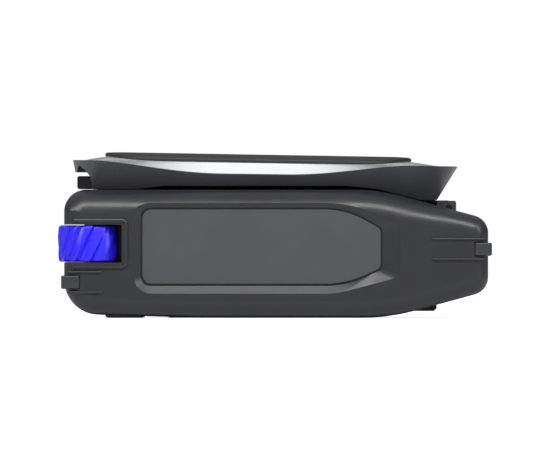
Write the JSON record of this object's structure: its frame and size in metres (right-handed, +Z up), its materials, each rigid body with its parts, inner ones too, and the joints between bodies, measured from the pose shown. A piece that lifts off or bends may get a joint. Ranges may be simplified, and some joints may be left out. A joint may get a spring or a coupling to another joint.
{
  "type": "radar detector",
  "caption": "In-car radar detector: flared windscreen mount hinged on a grey housing, finned thumbwheels at the rear corners, rear display and keys, side inlay panels.",
  "frame": {"origin": "on the resting plane, under the middle of the whole object", "axes": "+X towards the antenna end, +Y to the left side, +Z up"},
  "size_m": [0.1304, 0.0784, 0.0499],
  "materials": {
    "housing_grey": "fine moulded texture, satin",
    "panel_satin": "smooth satin",
    "mount_black": "fine moulded texture",
    "inlay_white": "high gloss",
    "pad_black": "soft foam with a smooth skin",
    "wheel_blue": "satin, vivid blue",
    "window_smoked": "smoked, infrared-clear",
    "bezel_gloss": "high gloss black",
    "steel": "turned",
    "screw_black": "black oxide",
    "board_green": "solder mask",
    "shield_tin": "tinned sheet",
    "horn_cast": "cast",
    "gps_ceramic": "fired",
    "cell_sleeve": "shrink sleeve",
    "speaker_cone": "pressed cone",
    "display_glass": "display module",
    "ribbon_tan": "polyimide film",
    "foot_rubber": "moulded",
    "clip_black": "satin",
    "switch_grey": "moulded",
    "key_grey": "satin",
    "cover_grey": "fine moulded texture"
  },
  "bodies": {
    "housing": {"main_housing": "housing_grey", "bottom_cover": "cover_grey", "left_side_panel": "panel_satin", "right_side_panel": "panel_satin", "rear_left_foot": "foot_rubber", "rear_right_foot": "foot_rubber", "front_left_foot": "foot_rubber", "front_right_foot": "foot_rubber", "front_left_clip": "clip_black", "front_right_clip": "clip_black", "rear_left_clip": "clip_black", "rear_right_clip": "clip_black", "rest_pad": "pad_black", "front_window": "window_smoked", "service_cover": "cover_grey", "left_wheel_encoder": "switch_grey", "right_wheel_encoder": "switch_grey", "rear_bezel": "bezel_gloss", "display_window": "window_smoked", "display_module": "display_glass", "rear_board": "board_green", "mute_button_switch": "switch_grey", "menu_button_switch": "switch_grey", "power_jack": "steel", "main_board": "board_green", "processor_shield": "shield_tin", "radio_shield": "shield_tin", "gps_antenna": "gps_ceramic", "backup_cell": "cell_sleeve", "speaker": "speaker_cone", "laser_sensor": "switch_grey", "horn_antenna": "horn_cast", "display_ribbon": "ribbon_tan", "board_screws": "screw_black", "cover_screws": "screw_black", "bracket_screws": "screw_black", "hinge_bracket": "mount_black", "hinge_pin": "screw_black"},
    "windscreen_mount": {"mount_frame": "mount_black", "mount_inlay": "inlay_white", "mount_pad": "pad_black", "rear_cross_bar": "bezel_gloss"},
    "left_thumbwheel": {"left_wheel": "wheel_blue", "left_wheel_shaft": "steel"},
    "right_thumbwheel": {"right_wheel": "wheel_blue", "right_wheel_shaft": "steel"},
    "mute_key": {"mute_button": "key_grey"},
    "menu_key": {"menu_button": "key_grey"}
  },
  "joints": [
    {"name": "mount_tilt", "type": "hinge", "parent": "housing", "child": "windscreen_mount", "pos_m": [0.0524, 0, 0.033], "axis": [0, 1, 0], "range_deg": [0, 30]},
    {"name": "left_wheel_spin", "type": "hinge", "parent": "housing", "child": "left_thumbwheel", "pos_m": [-0.056, 0.03, 0.0223], "axis": [0, 0, 1], "continuous": true},
    {"name": "right_wheel_spin", "type": "hinge", "parent": "housing", "child": "right_thumbwheel", "pos_m": [-0.056, -0.03, 0.0223], "axis": [0, 0, 1], "continuous": true},
    {"name": "mute_press", "type": "slide", "parent": "housing", "child": "mute_key", "axis": [1, 0, 0], "range_m": [0, 0.0005], "stiffness_N_per_m": 800, "springref_m": -0.0002},
    {"name": "menu_press", "type": "slide", "parent": "housing", "child": "menu_key", "axis": [1, 0, 0], "range_m": [0, 0.0005], "stiffness_N_per_m": 800, "springref_m": -0.0002}
  ]
}
